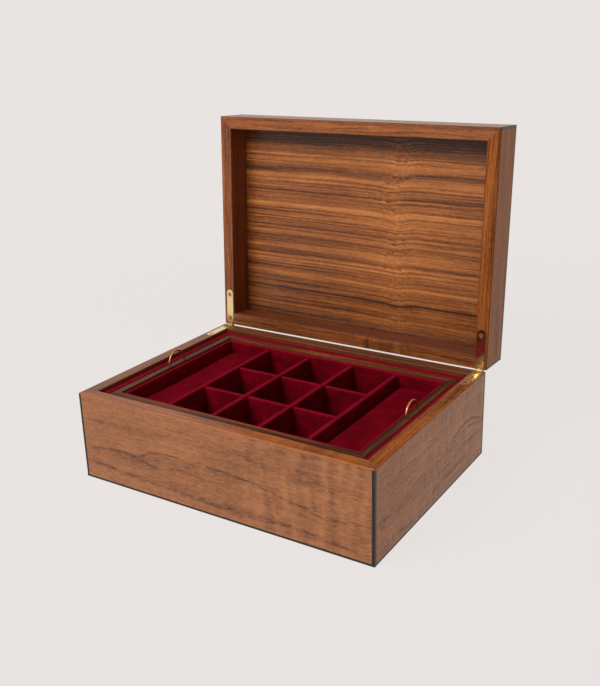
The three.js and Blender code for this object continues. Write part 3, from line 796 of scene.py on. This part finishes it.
def swell(piece, low, high):
    """Fills a piece with air as cloth, lets no point move past the rise, and keeps it in its room."""
    s = bpy.context.scene.jewellery_velvet
    remesh = piece.modifiers.new("Even mesh", "REMESH")
    remesh.mode = "VOXEL"
    remesh.voxel_size = s.voxel
    settle(piece)
    rest = [v.co.copy() for v in piece.data.vertices]
    cloth = piece.modifiers.new("Cloth", "CLOTH")
    cloth.settings.use_pressure = True
    cloth.settings.uniform_pressure_force = s.pressure
    cloth.settings.effector_weights.gravity = 0
    for at in range(1, SWELL_FRAMES + 1):
        bpy.context.scene.frame_set(at)
    settle(piece)
    bpy.context.scene.frame_set(1)
    for vertex, start in zip(piece.data.vertices, rest):
        move = vertex.co - start
        if move.length > s.puff:
            move *= s.puff / move.length
        vertex.co = [min(max(c, a), b) for c, a, b in zip(start + move, low, high)]
    finer = piece.modifiers.new("Finer", "SUBSURF")
    finer.levels = finer.render_levels = 1
    settle(piece)
    soften(piece.data, ROUND_ANGLE)


# ---------------------------------------------------------------- operators


class JEWELLERY_OT_stage(Operator):
    """Makes the camera, the soft lights and the pale floor"""

    bl_idname = "jewellery.stage"
    bl_label = "Studio"

    def execute(self, context):
        s = context.scene.jewellery_studio
        self.camera(context.scene, s)
        self.backdrop(context.scene, s)
        self.lights(context.scene, s)
        context.scene.view_settings.view_transform = "Standard"
        return {"FINISHED"}

    def camera(self, scene, s):
        flat = math.cos(s.elevation)
        ahead = Vector((-math.sin(s.azimuth) * flat, math.cos(s.azimuth) * flat, -math.sin(s.elevation)))
        right = ahead.cross(Vector((0, 0, 1))).normalized()
        up = right.cross(ahead)
        turn = Matrix((right, up, -ahead)).transposed().to_4x4()
        data = bpy.data.cameras.new("camera")
        data.lens = s.lens
        data.shift_x = s.shift_x
        data.shift_y = s.shift_y
        camera = bpy.data.objects.new("camera", data)
        camera.matrix_world = Matrix.Translation(s.eye) @ turn @ Matrix.Rotation(s.roll, 4, "Z")
        scene.collection.objects.link(camera)
        scene.camera = camera

    def backdrop(self, scene, s):
        """Paper all round. Its plain colour is what is seen and mirrored; matt surfaces get less light from
        the right than from the left, where the large light is."""
        world = bpy.data.worlds.new("surround")
        scene.world = world
        g = Graph(world)
        ray = g.node("LightPath").socket.node.outputs["Is Diffuse Ray"]
        away = g.node("TexCoord", out=0)
        key = {0: away, 1: s.key_place.normalized()}
        toward = g.node("VectorMath", {"operation": "DOT_PRODUCT"}, key, out=1)
        strength = g.smooth(toward, -0.5, 1.0, s.surround * 0.35, s.surround)
        seen = g.node("Background", None, {"Color": (*s.backdrop, 1), "Strength": 1.0})
        felt = g.node("Background", None, {"Color": (*s.backdrop, 1), "Strength": strength})
        both = g.node("MixShader", None, {0: Wire(g, ray), 1: seen, 2: felt})
        g.node("OutputWorld", None, {0: both})

        g = material_graph("paper")
        (x, y, _), _ = g.place()
        fibre = g.noise(x / 3, y / 3, 0.0, 3.0) - 0.5
        lit = 0.06  # how much of the paper's tone comes from the lights, so that shadows stay faint
        body = g.mix(0.5 + fibre * 0.3, (lit * 0.97,) * 3, (lit * 1.03,) * 3)
        near = g.node("BsdfDiffuse", None, {"Color": body, "Roughness": 0.5})
        glow = g.node("Emission", None, {"Color": (*s.backdrop, 1), "Strength": 1 - lit})
        far = g.node("Emission", None, {"Color": (*s.backdrop, 1), "Strength": 1.0})
        paper = g.node("AddShader", None, {0: near, 1: glow})
        apart = g.node("VectorMath", {"operation": "LENGTH"}, {0: g.join(x, y, 0.0)}, out=1)
        fade = g.smooth(apart, 450.0, 1300.0)
        both = g.node("MixShader", None, {0: fade, 1: paper, 2: far})
        g.node("OutputMaterial", None, {0: both})
        mesh = bpy.data.meshes.new("floor")
        reach = 12
        corners = [(-reach, -reach, 0), (reach, -reach, 0), (reach, reach, 0), (-reach, reach, 0)]
        mesh.from_pydata(corners, [], [(0, 1, 2, 3)])
        mesh.materials.append(g.owner)
        floor = bpy.data.objects.new("floor", mesh)
        floor.location.z = CAD_BOX[0].z - 0.2 * MM
        scene.collection.objects.link(floor)

    def lights(self, scene, s):
        middle = Vector((0, 0, 0.13))
        for name, place, size, power in (
            ("key", s.key_place, 0.85, s.key),
            ("fill", s.fill_place, 1.2, s.fill),
        ):
            data = bpy.data.lights.new(name, "AREA")
            data.shape = "SQUARE"
            data.size = size
            data.energy = power
            lamp = bpy.data.objects.new(name, data)
            lamp.location = place
            lamp.rotation_euler = (middle - place).to_track_quat("-Z", "Y").to_euler()
            scene.collection.objects.link(lamp)


class JEWELLERY_OT_carcass(Operator):
    """Finishes the walnut walls and the bottom board of the base"""

    bl_idname = "jewellery.carcass"
    bl_label = "Base carcass"

    def execute(self, context):
        figures = {"front": front_figure, "right": right_figure}
        for index, side in enumerate(WALLS):
            # Painted light: along each rim, where the lighter, warmer tone starts and stops, and how much on
            # its inner and outer half.
            painted_amber_light = {"front": (-60, 150, 0.35, 1.0), "right": (60, -120, 0.6, 0.45)}.get(side)
            # Painted light and shade: the same solid rim is much brighter on the front wall and darker on the
            # back wall.
            rim_light_and_shade = {"back": 0.62, "front": 1.5}.get(side, 0.94)
            if side == "right":
                look = {"tint": (1.0, 0.94, 0.7), "stripes": 2.6, "shine": 0.22}
                streaky = 1.25
            else:
                look = {"tint": (0.96, 0.95, 0.94), "stripes": 1.3}
                streaky = 1.0
            finish = wall_finish(
                f"veneer_base_{side}", side, 1.3 + index * 2.7, figure=figures.get(side), painted_amber_light=painted_amber_light,
                rim_light_and_shade=rim_light_and_shade, broad=0.3 * streaky, lines=0.45 * streaky, fibres=0.4,
                flecks=0.8 * streaky, clouds=0.42, **look,
            )
            wear(f"base_wall_{side}", finish)
        plain = wall_finish("plain_board", "front", 14.1, family="tray")
        wear("base_bottom_board", plain)
        return {"FINISHED"}


class JEWELLERY_OT_lid(Operator):
    """Finishes the lid's walls, its top board and the striped panel inside it"""

    bl_idname = "jewellery.lid"
    bl_label = "Lid"

    def execute(self, context):
        for index, side in enumerate(WALLS):
            figure = rim_ripple if side == "back" else None
            # Painted shade: the lid's outer faces are darkened a little, and its right face, turned from the
            # large light, much more.
            look = {"tint": (0.88, 0.86, 0.84)}
            if side == "right":
                look = {"tint": (0.8, 0.68, 0.42), "shine": 0.08}
            finish = wall_finish(
                f"veneer_lid_{side}", side, 20.4 + index * 3.1, on_lid=True, figure=figure, broad=0.8,
                lines=1.0, flecks=0.8, pitch=5.0, **look,
            )
            wear(f"lid_wall_{side}", finish)
        top = wall_finish("veneer_lid_top", "front", 35.2, on_lid=True, broad=0.45)
        wear("lid_top_board", top)
        wear("lid_inner_panel", panel_finish())
        return {"FINISHED"}


class JEWELLERY_OT_edging(Operator):
    """Finishes the black edging along the outer corners"""

    bl_idname = "jewellery.edging"
    bl_label = "Edging"

    def execute(self, context):
        finish = edging_finish()
        names = ["base_edging_bottom", "lid_edging_top"]
        names += [f"{part}_edging_{corner}" for part in ("base", "lid") for corner in CORNERS]
        for name in names:
            ease(wear(name, finish), 0.45 * MM)
        return {"FINISHED"}


class JEWELLERY_OT_hinges(Operator):
    """Finishes the hinge leaves, pins and screws"""

    bl_idname = "jewellery.hinges"
    bl_label = "Hinges"

    def execute(self, context):
        s = context.scene.jewellery_brass
        base_leaf = brass_finish("brass_base_leaf", s.polished, "Y", 0.24, 0.3)
        lid_leaf = brass_finish("brass_lid_leaf", s.polished, "Z", 0.1, 0.15)
        screw = brass_finish("brass_screw", s.aged, "Y", 0.32, 0.1)
        for hand in HANDS:
            ease(wear(f"hinge_{hand}_base_leaf", base_leaf), s.leaf_ease)
            ease(wear(f"hinge_{hand}_lid_leaf", lid_leaf), s.leaf_ease)
            wear(f"hinge_{hand}_pin", screw)
            for part in ("base", "lid"):
                for end in ("back", "front"):
                    ease(wear(f"hinge_{hand}_{part}_screw_{end}", screw), 0.1 * MM)
        return {"FINISHED"}


# Painted light and shade on one tray wood: the back rail, facing the light, is brighter, the right rail,
# turned from it, darker, and the front and left a little darker.
TRAY_LIGHT_AND_SHADE = {
    "front": (0.9, 0.82, 0.78),
    "right": (0.72, 0.7, 0.66),
    "back": (1.7, 1.6, 1.4),
    "left": (0.95, 0.9, 0.85),
}


class JEWELLERY_OT_tray_frame(Operator):
    """Finishes the tray's walnut frame and its bottom board"""

    bl_idname = "jewellery.tray_frame"
    bl_label = "Tray frame"

    def execute(self, context):
        gloss = context.scene.jewellery_wood.gloss
        for index, side in enumerate(WALLS):
            timber = Timber(f"tray_walnut_{side}", side, 41.7 + index * 1.9, sway=5.0)
            timber.grain(broad=0.6, lines=0.9, pitch=3.5)
            timber.pores()
            timber.rim_stripes(2.4)
            # The tray's bevels take a painted highlight in the light tray tone, and each rail a tint of
            # painted light and shade.
            finish = timber.finish(
                *wood_tones("tray"), edge=(wood_tones("tray")[0], 0.5), gloss=gloss + 0.16,
                tint=TRAY_LIGHT_AND_SHADE[side], shine=0.16,
            )
            ease(wear(f"tray_rail_{side}", finish), 0.6 * MM)
        plain = wall_finish("plain_tray_board", "front", 52.6, family="tray")
        wear("tray_bottom_board", plain)
        return {"FINISHED"}


class JEWELLERY_OT_loops(Operator):
    """Bends the two wire loops that lift the tray"""

    bl_idname = "jewellery.loops"
    bl_label = "Lifting loops"

    def execute(self, context):
        s = context.scene.jewellery_brass
        finish = brass_finish("brass_wire", s.aged, "Z", 0.26, 0.6)
        for hand in HANDS:
            node = f"tray_loop_{hand}"
            low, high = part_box(node)
            radius = (high.x - low.x) / 2
            x = (low.x + high.x) / 2
            half = (high.y - low.y) / 2 - radius
            spring = high.z - radius - half
            path = [Vector((x, -half, z)) for z in steps(low.z, spring, 2 * MM)]
            turn = [math.pi * i / ARCH_STEPS for i in range(1, ARCH_STEPS)]
            path += [Vector((x, -half * math.cos(a), spring + half * math.sin(a))) for a in turn]
            path += [Vector((x, half, z)) for z in steps(spring, low.z, 2 * MM)]
            points, faces = skin(self.rings(path, radius, s.wire_sides), closed_path=False)
            new_piece(f"lifting_loop_{hand}", points, faces, "tray", finish, [node], ROUND_ANGLE)
        return {"FINISHED"}

    def rings(self, path, radius, sides):
        """Round sections square to the path, which lies in a plane of constant X."""
        rings = []
        for i, point in enumerate(path):
            ahead = (path[min(i + 1, len(path) - 1)] - path[max(i - 1, 0)]).normalized()
            out = Vector((1, 0, 0))
            up = ahead.cross(out)
            ring = []
            for k in range(sides):
                a = 2 * math.pi * k / sides
                ring.append(point + (out * math.cos(a) + up * math.sin(a)) * radius)
            rings.append(ring)
        return rings


class JEWELLERY_OT_liner(Operator):
    """Makes the velvet-covered liner boards, ledges and floor of the base"""

    bl_idname = "jewellery.liner"
    bl_label = "Base liner"

    def execute(self, context):
        s = context.scene.jewellery_velvet
        rows = {along: velvet_finish(f"velvet_liner_{along.lower()}", 4.2, along, 0.5) for along in "XY"}
        boards = [(f"liner_{side}", f"velvet_liner_{side}", "X") for side in ("front", "back")]
        boards += [(f"liner_{side}", f"velvet_liner_{side}", "Y") for side in ("left", "right")]
        boards += [(f"tray_ledge_{hand}", f"velvet_ledge_{hand}", "Y") for hand in HANDS]
        for node, name, along in boards:
            low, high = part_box(node)
            covered_board(name, along, low, high, s.liner_round, "base", rows[along], [node])
        low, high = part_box("well_floor_pad")
        slack = 0.2 * MM
        points, faces = slab(
            low, high, 1.4 * MM, 8 * MM, lambda x, y: wander((x, y, 0), slack, 0.05).z - slack
        )
        well = new_piece("velvet_well_pad", points, faces, "base", rows["X"], ["well_floor_pad"])
        return {"FINISHED"}


class JEWELLERY_OT_lining(Operator):
    """Makes the rounded velvet band inside the tray's frame"""

    bl_idname = "jewellery.lining"
    bl_label = "Tray lining"

    def execute(self, context):
        s = context.scene.jewellery_velvet
        low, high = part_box("tray_lining")
        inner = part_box("tray_floor_pad")[1]
        thick = high.x - inner.x - 0.15 * MM
        section = round_top(-thick, 0, low.z, high.z, s.lining_round)
        rings = []
        for place, out in self.circuit(high.x, high.y):
            ring = [Vector((*(place + out * a), z)) for a, z in section]
            rings.append([p + wander(p, s.unevenness) for p in ring])
        points, faces = skin(rings, closed_path=True)
        finish = velvet_finish("velvet_lining", 7.7, "X", 0.5)
        new_piece("velvet_tray_lining", points, faces, "tray", finish, ["tray_lining"])
        return {"FINISHED"}

    def circuit(self, half_x, half_y):
        """Places round the outer rectangle, each with the way out; at a corner it points along the mitre."""
        corners = [(-1, -1), (1, -1), (1, 1), (-1, 1)]
        found = []
        for (ax, ay), (bx, by) in zip(corners, corners[1:] + corners[:1]):
            a, b = Vector((ax * half_x, ay * half_y)), Vector((bx * half_x, by * half_y))
            out = Vector(((ax + bx) / 2, (ay + by) / 2))
            span, clear = (b - a).length, 6 * MM
            found.append((a, Vector((ax, ay))))
            shares = steps(0, 1, 5 * MM / span)
            found += [(a.lerp(b, t), out) for t in shares if clear < t * span < span - clear]
        return found


class JEWELLERY_OT_dividers(Operator):
    """Makes the velvet-covered dividers, halved where they cross"""

    bl_idname = "jewellery.dividers"
    bl_label = "Tray dividers"

    def execute(self, context):
        finishes = {
            along: velvet_finish(f"velvet_divider_{along.lower()}", 11.9, along, 0.5) for along in "XY"
        }
        crossed = LONG_DIVIDERS[1:3]
        for node in LONG_DIVIDERS:
            piece = self.board(node, "Y", finishes["Y"])
            if node in crossed:
                carve(piece, [self.halving(node, other, upper=False) for other in CROSS_DIVIDERS])
                soften(piece.data, CORNER_ANGLE)
        for node in CROSS_DIVIDERS:
            piece = self.board(node, "X", finishes["X"])
            carve(piece, [self.halving(other, node, upper=True) for other in crossed])
            soften(piece.data, CORNER_ANGLE)
        return {"FINISHED"}

    def board(self, node, along, finish):
        low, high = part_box(node)
        side = 0 if along == "Y" else 1
        radius = bpy.context.scene.jewellery_velvet.divider_round
        return covered_board(f"velvet_{node}", along, low, high, radius, "tray", finish, [node])

    def halving(self, long, cross, upper):
        """The box cut from the upper half of a cross divider, or from the lower half of a long one."""
        (a, b), (c, d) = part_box(long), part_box(cross)
        clear, reach = 0.15 * MM, 3 * MM
        middle = (c.z + d.z) / 2
        low = Vector((a.x, c.y, middle if upper else a.z - reach))
        high = Vector((b.x, d.y, b.z + reach if upper else middle + clear))
        grow = Vector((clear, reach, 0)) if upper else Vector((reach, clear, 0))
        return low - grow, high + grow


class JEWELLERY_OT_pads(Operator):
    """Makes the padded velvet floors of the tray"""

    bl_idname = "jewellery.pads"
    bl_label = "Padded floors"

    def execute(self, context):
        s = context.scene.jewellery_velvet
        finish = velvet_finish("velvet_pads", 17.3, "X")
        for hand in HANDS:
            node = f"side_floor_{hand}"
            low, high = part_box(node)
            inset = Vector((1, 1, 1)) * s.puff
            points, faces = slab(low + inset, high - inset, 1.6 * MM, 6 * MM)
            pad = new_piece(f"velvet_{node}", points, faces, "tray", finish, [node], ROUND_ANGLE)
            swell(pad, low, high)
        low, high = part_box("tray_floor_pad")
        points, faces = slab(low, high, 1.2 * MM, 4 * MM, self.quilting())
        pad = new_piece("velvet_tray_floor", points, faces, "tray", finish, ["tray_floor_pad"])
        return {"FINISHED"}

    def quilting(self):
        """The dividers press the thin pad down, so it stands proud of them only in each square's middle."""
        dent, reach = 0.5 * MM, 12 * MM
        lines = []
        for node in LONG_DIVIDERS + CROSS_DIVIDERS:
            low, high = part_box(node)
            axis = 0 if node in LONG_DIVIDERS else 1
            lines.append((axis, (low[axis] + high[axis]) / 2))

        def rise(x, y):
            away = min(abs((x, y)[axis] - middle) for axis, middle in lines)
            return -dent * max(0.0, 1 - away / reach) ** 2

        return rise


OPERATORS = (
    JEWELLERY_OT_stage,
    JEWELLERY_OT_carcass,
    JEWELLERY_OT_lid,
    JEWELLERY_OT_edging,
    JEWELLERY_OT_hinges,
    JEWELLERY_OT_tray_frame,
    JEWELLERY_OT_loops,
    JEWELLERY_OT_liner,
    JEWELLERY_OT_lining,
    JEWELLERY_OT_dividers,
    JEWELLERY_OT_pads,
)


class JEWELLERY_PT_panel(Panel):
    """Lists the box's pieces in the order that they are made"""

    bl_idname = "JEWELLERY_PT_panel"
    bl_label = "Jewellery Box"
    bl_space_type = "VIEW_3D"
    bl_region_type = "UI"
    bl_category = "Jewellery Box"

    def draw(self, context):
        for operator in OPERATORS:
            self.layout.operator(operator.bl_idname)
        for name in SETTINGS:
            box = self.layout.box()
            settings = getattr(context.scene, name)
            for key in settings.__annotations__:
                box.prop(settings, key)


SETTINGS = {
    "jewellery_wood": WoodSettings,
    "jewellery_velvet": VelvetSettings,
    "jewellery_brass": BrassSettings,
    "jewellery_studio": StudioSettings,
}
CLASSES = (*SETTINGS.values(), *OPERATORS, JEWELLERY_PT_panel)


def register():
    for item in CLASSES:
        bpy.utils.register_class(item)
    for name, group in SETTINGS.items():
        setattr(bpy.types.Scene, name, PointerProperty(type=group))


def unregister():
    for name in SETTINGS:
        delattr(bpy.types.Scene, name)
    for item in reversed(CLASSES):
        bpy.utils.unregister_class(item)


def main():
    register()
    for operator in OPERATORS:
        family, name = operator.bl_idname.split(".")
        getattr(getattr(bpy.ops, family), name)()


if __name__ == "__main__":
    main()
